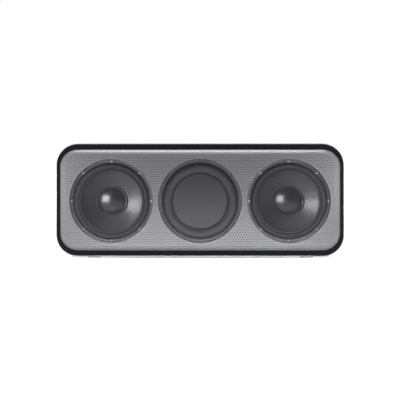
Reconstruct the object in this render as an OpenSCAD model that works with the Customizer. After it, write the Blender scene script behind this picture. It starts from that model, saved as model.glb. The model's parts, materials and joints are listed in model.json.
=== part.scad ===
// Table-top stereo speaker: two full-range drivers with a passive radiator between them, behind a
// pressed steel grille, in one moulded casing with its controls on top and its sockets at the back.
// The front faces -Y and Z is up. The origin is under the middle of the body, where the feet stand.

/* [Casing] */
// Width of the casing at its front edge
body_w = 284; // [282:1:300]
// Height of the casing at its front edge
body_h = 111.4; // [110:0.2:120]
// Depth from the face of the grille to the back of the casing
body_d = 80; // [80:1:90]
// Radius of the casing's corners, seen from the front
body_r = 21.6; // [20:0.2:26]
// Thickness of the casing's wall
wall = 2.6; // [2.4:0.1:3]
// Taper of each side towards the back, in degrees
draft = 1.6; // [1:0.1:2]
// Radius of the edge round the back
back_bend = 8; // [6:0.5:9]
// How far the feet hold the casing's front edge off the table
foot_lift = 1; // [0.8:0.1:2]

/* [Grille] */
// Width of the grille's pan
grille_w = 275.4; // [270:0.2:276]
// Height of the grille's pan
grille_h = 99.8; // [98:0.2:100]
// Radius of the pan's corners
grille_r = 17.4; // [15:0.2:18]
// Thickness of the steel sheet
sheet = 1; // [0.8:0.1:1.2]
// Radius of the bend round the pan's edge
grille_bend = 7; // [6:0.5:8]
// How far the pan stands out from the bezel
grille_rise = 4.5; // [4:0.1:4.8]
// Radius of the three round windows in the sheet
window_r = 41; // [40:0.1:41.5]
// Distance from one perforation to the next in a row
hole_pitch = 5.2; // [5:0.1:8]
// Diameter of each perforation
hole_d = 3.2; // [2.4:0.1:3.6]

/* [Bezel] */
// Width of the black bezel
bezel_w = 282; // [280:0.5:282]
// Height of the black bezel
bezel_h = 109.4; // [108:0.2:109.6]
// Thickness of the bezel
bezel_t = 2.5; // [2:0.1:3]

/* [Drivers] */
// Distance from one driver's axis to the next
driver_pitch = 87; // [86:0.5:88]
// How far the drivers' axes lie below the middle of the body
driver_drop = 1; // [0:0.1:2]
// Outer radius of a driver's flange
flange_r = 41; // [41:0.1:41.2]
// Number of screws round each driver
screw_count = 8; // [4:1:12]
// Radius of the circle that the screws lie on
screw_circle_r = 39.1; // [39:0.05:39.3]
// How far the cones travel each way
cone_travel = 2.5; // [1:0.1:2.5]

/* [Controls] */
// Diameter of a button's cap
button_d = 10.4; // [9:0.1:10.6]
// Distance from one button to the next
button_pitch = 19; // [16:0.5:20]
// How far a button goes down
button_travel = 0.8; // [0.5:0.1:0.9]

/* [Sockets] */
// Width of the bay that the sockets open into
bay_w = 58; // [50:1:64]
// Height of the bay
bay_h = 16; // [15:0.5:17]
// Depth of the bay
bay_depth = 8; // [6:0.5:9]
// Radius of the audio socket's hole
jack_r = 1.8; // [1.7:0.05:1.9]
// Depth of the audio socket's hole
jack_depth = 13; // [12:0.5:13]

/* [Hidden] */
$fn = 96;

mid_z = foot_lift + body_h / 2;
front_y = -body_d / 2;
back_y = body_d / 2;
bezel_y = front_y + grille_rise;
case_y = bezel_y + bezel_t;
inner_back_y = back_y - wall;
case_edge = 0.8;
bezel_r = body_r - 1;
bezel_edge = 0.7;
nip = 0.05;

baffle_t = 4;
baffle_gap = 0.4;
baffle_w = body_w - 2 * wall - 2 * baffle_gap;
baffle_h = body_h - 2 * wall - 2 * baffle_gap;
baffle_r = body_r - wall - baffle_gap;
gasket_t = 0.8;
ledge_y = case_y + baffle_t + gasket_t;
ledge_t = 3;
ledge_w = 4;

axis_z = mid_z - driver_drop;
driver_x = [-driver_pitch, 0, driver_pitch];
flange_y = case_y - 1.2;
bend_angle = 75;
hole_rim = 4.4;
guard_t = 0.4;
guard_y = front_y + sheet;
guard_r = window_r + 1.2;
guard_hole_r = 2.1;
basket_r = 36.8;
tag_reach = 3.4;
basket_t = 1.2;
basket_base_y = case_y + 19.2;
seat_y = basket_base_y - basket_t - cone_travel - 0.5;
plate_t = 5;
magnet_t = 11;
back_plate_t = 4;
pole_r = 12.1;
former_r = 12.5;
former_t = 0.3;
coil_r = 13.3;
coil_h = plate_t + cone_travel;
coil_y = basket_base_y + (plate_t - coil_h) / 2;
gap_r = 13.7;
cone_edge_r = 31.6;
cone_neck_r = 16;
cone_y = flange_y + 0.3;
neck_y = cone_y + 9.3;
cone_t = 0.6;
cap_r = 13.3;
cap_rise = 4.2;
cap_t = 0.5;

disc_r = 26.8;
disc_rim_r = 28.2;

panel_w = 104;
panel_d = 18;
panel_y = 10;
panel_t = 2;
panel_z = case_top(panel_y + panel_d / 2);
button_clear = 0.3;
button_count = 5;
board_t = 1.6;
stem_h = 5.2;
switch_body = [6, 6, 3];
plunger_h = 1;
key_board_z = panel_z - stem_h - button_travel - 0.3 - switch_body[2] - plunger_h;
key_post_x = 54;

bay_z = 21.4;
bay_y = back_y - bay_depth;
port_t = 2;
board_z = 14;
board_w = 118;
board_y = [-12, bay_y - port_t - 0.4];
board_post_x = 54;
board_post_y = [-7, 24];
dc_x = -14;
jack_x = 14;
socket_z = board_z + board_t + 5.4;
socket_h = 7;
plug_top = 8.6;
lead_socket_at = [[-53, 3], [53, 3], [-34, 17], [0, 11]];
leads_z = board_z + board_t + plug_top;
jack_body = [11, 14, 9];
dc_body = [12, 13, 10.6];

cell_r = 9.2;
wrap_t = 0.3;
cell_len = 66;
cell_y = inner_back_y - cell_r - wrap_t - 0.1;
cell_z = [mid_z + 3, mid_z + 3 + 2 * cell_r];
bracket_t = 1.5;
bracket_w = 22;
bracket_ear = 11;
bracket_gap = 0.1;

foot_r = 7;
foot_x = 105;
foot_y = [-19, 24];

boss_r = 3.6;
boss_len = 15;
baffle_screw_x = [-128, -43.5, 43.5, 128];
baffle_screw_z = body_h / 2 - wall - 3.6;

function case_top(y) = mid_z + body_h / 2 - (y - case_y) * tan(draft);
function case_floor(y) = mid_z - body_h / 2 + (y - case_y) * tan(draft);

// Turns a shape drawn along Z so that its axis runs back through the body at the given place.
module along_y(x, z) {
    translate([x, 0, z]) rotate([-90, 0, 0]) children();
}

// Rectangle with round corners, drawn about the origin.
module rounded_rect(w, h, r) {
    square([w - 2 * r, h], center = true);
    square([w, h - 2 * r], center = true);
    for (x = [-1, 1], y = [-1, 1]) translate([x * (w / 2 - r), y * (h / 2 - r)]) circle(r);
}

// Sets a flat shape upright, between two depths, about the middle of the body.
module upright(y0, y1) {
    translate([0, y1, mid_z]) rotate([90, 0, 0]) linear_extrude(y1 - y0) children();
}

// Sweeps an edge's section round a rectangle with round corners. In the section, x is the distance
// out from the corner's axis and y is the depth in the body.
module edge_sweep(w, h, r) {
    side_w = w / 2 - r;
    side_h = h / 2 - r;
    translate([0, 0, mid_z]) {
        for (mx = [0, 1], mz = [0, 1])
            mirror([mx, 0, 0]) mirror([0, 0, mz])
                translate([side_w, 0, -side_h]) rotate([-90, 0, 0])
                    rotate_extrude(angle = 90) children();
        for (mx = [0, 1])
            mirror([mx, 0, 0]) translate([side_w, 0, 0])
                linear_extrude(2 * side_h, center = true) children();
        for (mz = [0, 1])
            mirror([0, 0, mz]) translate([0, 0, side_h]) rotate([0, -90, 0])
                linear_extrude(2 * side_w, center = true) children();
    }
}

// Section of a tapered wall's solid: out to r at the front, over a small round edge there, and round
// a bend into the back.
module tapered_section(r, y0, y1, bend, edge) {
    fall = tan(draft);
    edge_x = r - edge * fall - edge / cos(draft);
    edge_touch = [edge_x + edge * cos(draft), y0 + edge + edge * sin(draft)];
    center_y = y1 - bend;
    center_x = r - (center_y - y0) * fall - bend / cos(draft);
    touch = [center_x + bend * cos(draft), center_y + bend * sin(draft)];
    polygon([[0, y0], [edge_x, y0], [edge_x, y0 + edge], edge_touch, touch, [center_x, center_y],
        [center_x, y1], [0, y1]]);
    if (edge > 0) translate([edge_x, y0 + edge]) circle(edge);
    intersection() {
        translate([center_x, center_y]) circle(bend);
        polygon([[center_x, center_y], touch, [touch[0] + bend, y1 + bend], [center_x, y1 + bend]]);
    }
}

module tapered_block(w, h, r, y0, y1, bend, edge = 0) {
    edge_sweep(w, h, r) tapered_section(r, y0, y1, bend, edge);
    translate([r - w / 2, y0, mid_z + r - h / 2]) cube([w - 2 * r, y1 - y0, h - 2 * r]);
}

// Slot with round ends, drawn flat at a height.
module flat_slot(w, d, z0, z1) {
    translate([0, 0, z0]) linear_extrude(z1 - z0) {
        square([w - d, d], center = true);
        for (x = [-1, 1]) translate([x * (w - d) / 2, 0]) circle(d / 2);
    }
}

module casing_bosses() {
    for (x = baffle_screw_x, s = [-1, 1])
        along_y(x, mid_z + s * baffle_screw_z) translate([0, 0, ledge_y]) cylinder(boss_len, r = boss_r);
    for (x = [-1, 1], y = board_post_y)
        translate([x * board_post_x, y, case_floor(y) + wall / 2])
            cylinder(board_z - case_floor(y) - wall / 2, r = 3);
    for (s = [-1, 1])
        along_y(0, battery_mid_z + s * bracket_reach) translate([0, 0, inner_back_y - 3])
            cylinder(3 + wall / 2, r = 3.4);
}

module casing() {
    color("whitesmoke") difference() {
        union() {
            difference() {
                tapered_block(body_w, body_h, body_r, case_y, back_y, back_bend, case_edge);
                tapered_block(body_w - 2 * wall, body_h - 2 * wall, body_r - wall, case_y - 1,
                    inner_back_y, back_bend - wall);
            }
            difference() {
                upright(ledge_y, ledge_y + ledge_t)
                    rounded_rect(body_w - 1.6 * wall, body_h - 1.6 * wall, body_r - 0.8 * wall);
                upright(ledge_y - 1, ledge_y + ledge_t + 1)
                    rounded_rect(baffle_w - 2 * ledge_w, baffle_h - 2 * ledge_w, baffle_r - ledge_w);
            }
            casing_bosses();
            translate([0, panel_y, 0]) {
                flat_slot(panel_w + 8, panel_d + 8, panel_z - 4.6, panel_z - 1.4);
                for (x = [-1, 1]) translate([x * key_post_x, 0, key_board_z])
                    cylinder(panel_z - 4 - key_board_z, r = 3);
            }
            translate([-bay_w / 2 - wall, bay_y - port_t, bay_z - bay_h / 2 - wall])
                cube([bay_w + 2 * wall, bay_depth + port_t - wall / 2, bay_h + 2 * wall]);
        }
        for (x = baffle_screw_x, s = [-1, 1])
            along_y(x, mid_z + s * baffle_screw_z) translate([0, 0, ledge_y - 1]) cylinder(12, r = 1.2);
        for (x = [-1, 1], y = board_post_y)
            translate([x * board_post_x, y, board_z - 8]) cylinder(9, r = 1.1);
        for (s = [-1, 1])
            along_y(0, battery_mid_z + s * bracket_reach) translate([0, 0, inner_back_y - 4])
                cylinder(5, r = 1.1);
        translate([0, panel_y, 0]) {
            flat_slot(panel_w + 0.6, panel_d + 0.6, panel_z - panel_t, panel_z + 8);
            flat_slot(panel_w - 12, panel_d - 4.4, panel_z - 9, panel_z);
            for (x = [-1, 1]) translate([x * key_post_x, 0, key_board_z - 1]) cylinder(5, r = 1.1);
        }
        translate([-bay_w / 2, bay_y - port_t - 1, bay_z - bay_h / 2])
            cube([bay_w, bay_depth + port_t + 2, bay_h]);
        for (x = [-1, 1], y = foot_y)
            translate([x * foot_x, y, case_floor(y) - 3]) cylinder(4.6, r = foot_r + 0.1);
    }
}

// Section of the bezel's solid, with its front edge rounded.
module bezel_section() {
    translate([0, bezel_y + bezel_edge]) square([bezel_r, case_y - bezel_y - bezel_edge]);
    translate([0, bezel_y]) square([bezel_r - bezel_edge, bezel_edge + nip]);
    translate([bezel_r - bezel_edge, bezel_y + bezel_edge]) circle(bezel_edge);
}

module front_bezel() {
    color("black") difference() {
        edge_sweep(bezel_w, bezel_h, bezel_r) bezel_section();
        upright(bezel_y - 1, case_y + 1) rounded_rect(grille_w - 8, grille_h - 8, grille_r - 4);
        difference() {
            upright(bezel_y - 1, bezel_y + 1.2)
                rounded_rect(grille_w + 0.4, grille_h + 0.4, grille_r + 0.2);
            upright(bezel_y - 2, bezel_y + 2)
                rounded_rect(grille_w - 3.2, grille_h - 3.2, grille_r - 1.6);
        }
        for (x = baffle_screw_x, s = [-1, 1])
            along_y(x, mid_z + s * baffle_screw_z) translate([0, 0, case_y - 1.6])
                cylinder(2, r = 3.4);
    }
}

// How far inside the pan's outline a place lies, negative outside it.
function inside_pan(x, z) =
    let (over_x = abs(x) - (grille_w / 2 - grille_r), over_z = abs(z) - (grille_h / 2 - grille_r))
    grille_r - (over_x > 0 && over_z > 0 ? norm([over_x, over_z]) : max(over_x, over_z));

// True where a perforation keeps clear of the windows and of the pan's rim.
function hole_fits(x, z) =
    inside_pan(x, z) > hole_rim
    && min([for (c = driver_x) norm([x - c, z + driver_drop])]) > window_r + hole_d / 2 + 0.9;

// Section of the bend round the pan, from its flat face to its rim against the bezel.
module bend_section() {
    flat_r = grille_r - grille_bend;
    reach = 20;
    intersection() {
        translate([flat_r, front_y + grille_bend]) difference() {
            circle(grille_bend);
            circle(grille_bend - sheet);
        }
        polygon([[flat_r, front_y + grille_bend], [flat_r, front_y - reach],
            [flat_r + reach * sin(bend_angle), front_y - reach],
            [flat_r + reach * sin(bend_angle), front_y + grille_bend - reach * cos(bend_angle)]]);
    }
}

module front_grille() {
    row = hole_pitch * sqrt(3) / 2;
    rows = ceil(grille_h / 2 / row);
    columns = ceil(grille_w / 2 / hole_pitch);
    color("silver") difference() {
        union() {
            upright(front_y, front_y + sheet) difference() {
                rounded_rect(grille_w - 2 * grille_bend, grille_h - 2 * grille_bend,
                    grille_r - grille_bend);
                for (c = driver_x) translate([c, -driver_drop]) circle(window_r);
            }
            edge_sweep(grille_w, grille_h, grille_r) bend_section();
        }
        for (i = [-rows:rows], j = [-columns:columns])
            let (x = (j + (i % 2 == 0 ? 0 : 0.5)) * hole_pitch, z = i * row)
                if (hole_fits(x, z)) along_y(x, mid_z + z) translate([0, 0, front_y - 1])
                    cylinder(sheet + 4, r = hole_d / 2, $fn = 24);
    }
}

// Round disc of mesh behind a window, its holes in the same pattern as the grille's.
module guard(x) {
    reach = ceil(window_r / hole_pitch / 0.86);
    color("dimgray") along_y(x, axis_z) translate([0, 0, guard_y]) difference() {
        cylinder(guard_t, r = guard_r);
        for (i = [-reach:reach], j = [-reach:reach])
            let (px = (j + (i % 2 == 0 ? 0 : 0.5)) * hole_pitch, pz = i * hole_pitch * sqrt(3) / 2)
                if (norm([px, pz]) < window_r - guard_hole_r - 0.4)
                    translate([px, pz, -1]) cylinder(guard_t + 2, r = guard_hole_r, $fn = 24);
    }
}

module baffle() {
    color([0.13, 0.13, 0.14]) difference() {
        upright(case_y, case_y + baffle_t) rounded_rect(baffle_w, baffle_h, baffle_r);
        for (x = driver_x) along_y(x, axis_z) {
            translate([0, 0, case_y - 1]) cylinder(baffle_t + 2, r = basket_r + 0.3);
            if (x != 0) for (i = [0:screw_count - 1]) rotate(360 / screw_count * i)
                translate([screw_circle_r, 0, case_y - 1]) cylinder(4.4, r = 1.1);
        }
        for (x = baffle_screw_x, s = [-1, 1])
            along_y(x, mid_z + s * baffle_screw_z) {
                translate([0, 0, case_y - 1]) cylinder(baffle_t + 2, r = 1.7);
            }
    }
}

module baffle_gasket() {
    color("darkslategray") difference() {
        upright(ledge_y - gasket_t, ledge_y) rounded_rect(baffle_w, baffle_h, baffle_r);
        upright(ledge_y - gasket_t - 1, ledge_y + 1)
            rounded_rect(baffle_w - 2 * ledge_w + 1, baffle_h - 2 * ledge_w + 1, baffle_r - ledge_w);
        for (x = baffle_screw_x, s = [-1, 1])
            along_y(x, mid_z + s * baffle_screw_z) translate([0, 0, ledge_y - gasket_t - 1])
                cylinder(gasket_t + 2, r = 1.7);
    }
}

// Screw with a low round head, its axis along Z and its tip towards +Z.
module screw(head_r, head_h, shank_r, shank_len) {
    translate([0, 0, -head_h]) cylinder(head_h, r = head_r);
    translate([0, 0, -nip]) cylinder(shank_len + nip, r = shank_r);
}

module baffle_screws() {
    color("dimgray") for (x = baffle_screw_x, s = [-1, 1])
        along_y(x, mid_z + s * baffle_screw_z) translate([0, 0, case_y]) screw(2.9, 1.4, 1.4, 4.4);
}

// Rubber half roll between two lips, as a section from its inner lip to its outer one.
module roll_section(inner_r, outer_r, rise, t, lip_in, lip_out, y) {
    half = (outer_r - inner_r) / 2;
    roll_r = (half * half + rise * rise) / (2 * rise);
    center = [(inner_r + outer_r) / 2, y - rise + roll_r];
    intersection() {
        difference() {
            translate(center) circle(roll_r);
            translate(center) circle(roll_r - t);
        }
        translate([inner_r - 1, y - rise - 1]) square([2 * half + 2, rise + 1]);
    }
    translate([inner_r - lip_in, y - t]) square([lip_in + t, t]);
    translate([outer_r - t, y - t]) square([lip_out + t, t]);
}

module basket(x) {
    color("slategray") along_y(x, axis_z) difference() {
        rotate_extrude() polygon([
            [basket_r - basket_t, flange_y], [flange_r, flange_y], [flange_r, case_y],
            [basket_r, case_y], [basket_r, case_y + 4], [28.6, basket_base_y - 5.4],
            [28.6, basket_base_y], [14.6, basket_base_y], [14.6, basket_base_y - basket_t],
            [24.2, basket_base_y - basket_t], [24.2, seat_y], [27.4, seat_y],
            [27.4, seat_y - 1.6], [basket_r - basket_t, case_y + 3.6]]);
        for (i = [0:5]) rotate(60 * i)
            translate([24, -9, case_y + 5]) cube([20, 18, 8]);
        for (i = [0:screw_count - 1]) rotate(360 / screw_count * i)
            translate([screw_circle_r, 0, flange_y - 1]) cylinder(3, r = 1.3);
    }
}

module surround(x) {
    color([0.2, 0.2, 0.21]) along_y(x, axis_z) rotate_extrude()
        roll_section(cone_edge_r + 0.4, 37, 2.3, 0.5, 1.6, 0.5, flange_y);
}

// Points along the cone's front face, which curves in slightly towards the neck.
function cone_face(steps) = [for (i = [0:steps])
    let (t = i / steps) [cone_edge_r - 1.4 - t * (cone_edge_r - 1.4 - cone_neck_r),
        cone_y + (neck_y - cone_y) * pow(t, 0.86)]];

module cone(x) {
    face = cone_face(7);
    back = [for (i = [7:-1:0]) face[i] + [0, cone_t]];
    collar_r = former_r + former_t;
    color([0.3, 0.3, 0.31]) along_y(x, axis_z) rotate_extrude() {
        polygon(concat(
            [[cone_edge_r, cone_y]], face, [[collar_r, neck_y], [collar_r, neck_y + 2.2],
            [collar_r + cone_t, neck_y + 2.2], [collar_r + cone_t, neck_y + cone_t]],
            back, [[cone_edge_r, cone_y + cone_t]]));
    }
}

module dust_cap(x) {
    ball_r = (cap_r * cap_r + cap_rise * cap_rise) / (2 * cap_rise);
    center_y = neck_y - cap_rise + ball_r;
    color([0.17, 0.17, 0.18]) along_y(x, axis_z) rotate_extrude() intersection() {
        difference() {
            translate([0, center_y]) circle(ball_r);
            translate([0, center_y]) circle(ball_r - cap_t);
        }
        translate([0, neck_y - cap_rise - 1]) square([cap_r + 1, cap_rise + 1]);
    }
}

module voice_coil(x) {
    color("peru") along_y(x, axis_z) rotate_extrude() {
        translate([former_r, neck_y]) square([former_t, coil_y + coil_h - neck_y]);
        translate([former_r + former_t - nip, coil_y])
            square([coil_r - former_r - former_t + nip, coil_h]);
    }
}

// Corrugated centring disc between the former and the basket's seat.
module spider(x) {
    inner = former_r + former_t;
    steps = 30;
    wave = [for (i = [0:steps])
        let (r = inner + 1.2 + (24.4 - inner - 1.2) * i / steps)
            [r, seat_y - 0.5 + 0.7 * sin(i / steps * 360 * 3)]];
    color("goldenrod") along_y(x, axis_z) rotate_extrude() {
        polygon(concat([[inner, seat_y - 1.2]], [[inner + 0.6, seat_y - 1.2]], wave,
            [[27.3, seat_y - 0.5], [27.3, seat_y]],
            [for (i = [steps:-1:0]) wave[i] + [0, 0.5]],
            [[inner + 0.6, seat_y + 0.6], [inner, seat_y + 0.6]]));
    }
}

module ring(x, inner_r, outer_r, y, t) {
    along_y(x, axis_z) translate([0, 0, y]) difference() {
        cylinder(t, r = outer_r);
        if (inner_r > 0) translate([0, 0, -1]) cylinder(t + 2, r = inner_r);
    }
}

module top_plate(x) {
    color("silver") ring(x, gap_r, 25, basket_base_y, plate_t);
}

module magnet(x) {
    color([0.23, 0.23, 0.24]) ring(x, 17, 27, basket_base_y + plate_t, magnet_t);
}

module pole_plate(x) {
    back = basket_base_y + plate_t + magnet_t;
    color("silver") along_y(x, axis_z) rotate_extrude() polygon([
        [2.5, basket_base_y], [pole_r - 0.5, basket_base_y], [pole_r, basket_base_y + 0.5],
        [pole_r, back], [25, back], [25, back + back_plate_t - 0.8], [24.2, back + back_plate_t],
        [2.5, back + back_plate_t]]);
}

module terminal(x) {
    turn = x < 0 ? 60 : 120;
    color("saddlebrown") along_y(x, axis_z) rotate(turn) difference() {
        union() {
            translate([27, -6, basket_base_y - 4.6]) cube([4.2, 12, 3.6]);
            for (s = [-1, 1]) translate([29.4, s * tag_reach - 1.4, basket_base_y - 1.4])
                cube([0.8, 2.8, 7]);
        }
        translate([0, 0, basket_base_y - 10]) cylinder(20, r = 28.6);
    }
}

module driver_screws(x) {
    color("lightgray") along_y(x, axis_z) for (i = [0:screw_count - 1])
        rotate(360 / screw_count * i) translate([screw_circle_r, 0, flange_y])
            screw(1.5, 0.9, 1, 4.2);
}

module radiator_frame() {
    color("slategray") along_y(0, axis_z) rotate_extrude() polygon([
        [basket_r - basket_t, flange_y], [flange_r - 0.4, flange_y], [flange_r - 0.4, case_y],
        [basket_r, case_y], [basket_r, case_y + 11], [31, case_y + 11],
        [31, case_y + 11 - basket_t], [basket_r - basket_t, case_y + 11 - basket_t]]);
}

module radiator_surround() {
    color([0.22, 0.22, 0.23]) along_y(0, axis_z) rotate_extrude()
        roll_section(disc_rim_r - 0.6, 37, 3, 0.6, 0.7, 1, flange_y);
}

module radiator_disc() {
    color([0.34, 0.34, 0.35]) along_y(0, axis_z) rotate_extrude() polygon([
        [0, flange_y - 0.9], [disc_r - 0.6, flange_y - 0.9], [disc_r, flange_y - 0.3],
        [disc_r, flange_y], [disc_rim_r, flange_y], [disc_rim_r, flange_y + 1],
        [disc_r - 1, flange_y + 1], [disc_r - 3, flange_y + 2.4], [0, flange_y + 2.4]]);
}

module radiator_weight() {
    color("dimgray") along_y(0, axis_z) rotate_extrude() polygon([
        [0, flange_y + 2.4], [14, flange_y + 2.4], [14, flange_y + 7.4], [13.2, flange_y + 8.2],
        [0, flange_y + 8.2]]);
}

module main_board() {
    color("darkgreen") difference() {
        translate([-board_w / 2, board_y[0], board_z])
            cube([board_w, board_y[1] - board_y[0], board_t]);
        for (x = [-1, 1], y = board_post_y)
            translate([x * board_post_x, y, board_z - 1]) cylinder(board_t + 2, r = 1.5);
    }
}

module heat_sink() {
    fins = 7;
    color("gray") translate([26, -6, board_z + board_t]) {
        cube([23, 18, 3]);
        for (i = [0:fins - 1]) translate([i * (23 - 1.4) / (fins - 1), 0, 3 - nip])
            cube([1.4, 18, 11]);
    }
}

module radio_module() {
    color("silver") translate([-47, -4, board_z + board_t]) {
        cube([22, 15, 0.8]);
        translate([6, 1, 0.8 - nip]) cube([15, 13, 2]);
    }
}

module capacitors() {
    color("darkslategray") for (x = [-18, -6, 6, 17])
        translate([x, -5, board_z + board_t]) {
            cylinder(12, r = 4);
            translate([0, 0, 12 - nip]) cylinder(0.6, r = 3.4);
        }
}

// Sockets on the board, each with the plug of its leads pushed home.
module lead_sockets() {
    color("ivory") for (p = lead_socket_at) translate([p[0], p[1], board_z + board_t]) {
        difference() {
            translate([-4, -3, 0]) cube([8, 6, socket_h]);
            translate([-3, -2, 1.6]) cube([6, 4, socket_h]);
        }
        translate([-2.8, -1.8, 1.6 - nip]) cube([5.6, 3.6, plug_top - 1.6 + nip]);
    }
}

battery_mid_z = (cell_z[0] + cell_z[1]) / 2;
bracket_reach = cell_r * 2 + wrap_t + 5.4;

// Outline of two cells one above the other, grown by a margin and seen from the end.
module cell_outline(margin) {
    for (z = cell_z) translate([z, cell_y]) circle(cell_r + margin);
    translate([cell_z[0], cell_y - cell_r - margin])
        square([cell_z[1] - cell_z[0], 2 * (cell_r + margin)]);
}

// Turns an outline drawn as height against depth so that it runs along X.
module across(length) {
    rotate([0, -90, 0]) linear_extrude(length, center = true) children();
}

module battery_pack() {
    color("royalblue") across(cell_len) cell_outline(wrap_t);
}

module battery_bracket() {
    ear_y = inner_back_y - 3;
    color("dimgray") difference() {
        across(bracket_w) {
            difference() {
                cell_outline(wrap_t + bracket_gap + bracket_t);
                cell_outline(wrap_t + bracket_gap);
                translate([0, ear_y]) square([200, 20]);
            }
            for (s = [-1, 1])
                translate([battery_mid_z + s * (bracket_reach - 1), ear_y - bracket_t / 2])
                    square([bracket_ear, bracket_t], center = true);
        }
        for (s = [-1, 1]) along_y(0, battery_mid_z + s * bracket_reach)
            translate([0, 0, ear_y - 4]) cylinder(8, r = 1.5);
    }
}

module inner_screws() {
    color("dimgray") {
        for (x = [-1, 1], y = board_post_y)
            translate([x * board_post_x, y, board_z + board_t]) rotate([180, 0, 0])
                screw(2.4, 1.4, 1, 6);
        for (x = [-1, 1]) translate([x * key_post_x, panel_y, key_board_z - board_t])
            screw(2.2, 1.2, 1, 4);
        for (s = [-1, 1]) along_y(0, battery_mid_z + s * bracket_reach)
            translate([0, 0, inner_back_y - 3 - bracket_t]) screw(2.4, 1.4, 1, 4);
    }
}

module dc_socket() {
    face = bay_y - port_t;
    color([0.12, 0.12, 0.12]) translate([dc_x, face, socket_z]) {
        difference() {
            union() {
                translate([-dc_body[0] / 2, -dc_body[1], -5.4]) cube(dc_body);
                rotate([-90, 0, 0]) translate([0, 0, -nip]) cylinder(port_t - 0.2, r = 4.4);
            }
            rotate([-90, 0, 0]) translate([0, 0, -9]) cylinder(20, r = 2.8);
        }
        rotate([-90, 0, 0]) translate([0, 0, -9 - nip]) cylinder(9, r = 1);
    }
}

module audio_socket() {
    face = bay_y - port_t;
    color([0.12, 0.12, 0.12]) translate([jack_x, face, socket_z]) difference() {
        union() {
            translate([-jack_body[0] / 2, -jack_body[1], -5.4]) cube(jack_body);
            rotate([-90, 0, 0]) translate([0, 0, -nip]) cylinder(port_t - 0.2, r = 3);
        }
        rotate([-90, 0, 0]) translate([0, 0, port_t - 0.2 - jack_depth]) cylinder(20, r = jack_r);
    }
}

module port_panel() {
    color([0.2, 0.2, 0.2]) difference() {
        translate([0.15 - bay_w / 2, bay_y - port_t, bay_z - bay_h / 2 + 0.15])
            cube([bay_w - 0.3, port_t, bay_h - 0.3]);
        along_y(dc_x, socket_z) translate([0, 0, bay_y - port_t - 1]) cylinder(6, r = 4.5);
        along_y(jack_x, socket_z) translate([0, 0, bay_y - port_t - 1]) cylinder(6, r = 3.1);
    }
}

module control_panel() {
    color([0.25, 0.25, 0.26]) translate([0, panel_y, 0]) difference() {
        flat_slot(panel_w, panel_d, panel_z - panel_t, panel_z);
        for (i = [0:button_count - 1]) translate([(i - 2) * button_pitch, 0, panel_z - panel_t - 1])
            cylinder(panel_t + 2, r = button_d / 2 + button_clear);
    }
}

module button(i) {
    color([0.3, 0.3, 0.31]) translate([(i - 2) * button_pitch, panel_y, panel_z]) rotate_extrude()
        polygon([[0, 0.6], [button_d / 2 - 0.5, 0.6], [button_d / 2, 0.1], [button_d / 2, -2.2],
            [button_d / 2 + 0.9, -2.2], [button_d / 2 + 0.9, -3.2], [2, -3.2], [2, -stem_h],
            [0, -stem_h]]);
}

module button_board() {
    color("darkgreen") difference() {
        translate([-key_post_x - 5, panel_y - 7.5, key_board_z - board_t])
            cube([2 * key_post_x + 10, 15, board_t]);
        for (x = [-1, 1]) translate([x * key_post_x, panel_y, key_board_z - board_t - 1])
            cylinder(board_t + 2, r = 1.5);
    }
}

module key_switches() {
    color("silver") for (i = [0:button_count - 1])
        translate([(i - 2) * button_pitch, panel_y, key_board_z]) {
            translate([-switch_body[0] / 2, -switch_body[1] / 2, 0]) cube(switch_body);
            translate([0, 0, switch_body[2] - nip]) cylinder(plunger_h + nip, r = 1.7);
        }
}

// Point at t on a cubic curve through the air from one place to another.
function bezier(p, t) = pow(1 - t, 3) * p[0] + 3 * pow(1 - t, 2) * t * p[1]
    + 3 * (1 - t) * t * t * p[2] + t * t * t * p[3];

// Round wire swept along a cubic curve, with flat ends. It never runs in the direction beside.
module wire(p, d, beside) {
    rings = 12;
    sides = 8;
    points = [for (i = [0:rings]) bezier(p, i / rings)];
    along = [for (i = [0:rings])
        let (a = points[max(i - 1, 0)], b = points[min(i + 1, rings)]) (b - a) / norm(b - a)];
    skin = [for (i = [0:rings])
        let (u = cross(along[i], beside), v = u / norm(u), w = cross(along[i], v))
            for (k = [0:sides - 1])
                points[i] + d / 2 * (cos(k * 360 / sides) * v + sin(k * 360 / sides) * w)];
    walls = [for (i = [0:rings - 1], k = [0:sides - 1])
        let (a = i * sides + k, b = i * sides + (k + 1) % sides)
            each [[a, b, b + sides], [a, b + sides, a + sides]]];
    ends = [[for (k = [sides - 1:-1:0]) k], [for (k = [0:sides - 1]) rings * sides + k]];
    polyhedron(skin, concat(ends, walls));
}

// Pair of wires side by side, set apart one way where they start and another way where they end.
module wire_pair(p, d, beside, apart_start, apart_end) {
    for (s = [-0.5, 0.5])
        wire([for (i = [0:3]) p[i] + s * (i < 2 ? apart_start : apart_end)], d, beside);
}

module speaker_leads(side) {
    turn = side < 0 ? 60 : 120;
    start = [side * driver_pitch + 29.8 * cos(turn), basket_base_y + 5.7, axis_z - 29.8 * sin(turn)];
    finish = [side * 53, 3, leads_z + 0.1];
    color("firebrick")
        wire_pair([start, start + [0, 14, 0], finish + [0, 2, 16], finish], 1.5,
            [-1.2 * side, -1.2, 1.7], 2 * tag_reach * side * [sin(turn), 0, cos(turn)], [0, 2.1, 0]);
}

module battery_leads() {
    start = [-cell_len / 2 - 0.1, cell_y, cell_z[0]];
    finish = [-34, 17, leads_z + 0.15];
    color("firebrick")
        wire_pair([start, start + [-12, 0, 0], finish + [-2, 0, 14], finish], 1.6, [0, 1, 0],
            [0, 1.8, 0], [0, 1.8, 0]);
}

module button_leads() {
    start = [0, panel_y + 2, key_board_z - board_t - 0.2];
    finish = [0, 11, leads_z + 0.2];
    color("gainsboro") for (k = [-1.5:1.5])
        wire([for (q = [start, start + [0, -6, -26], finish + [0, -6, 26], finish])
            q + [1.4 * k, 0, 0]], 1.1, [1, 0, 0]);
}

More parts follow.
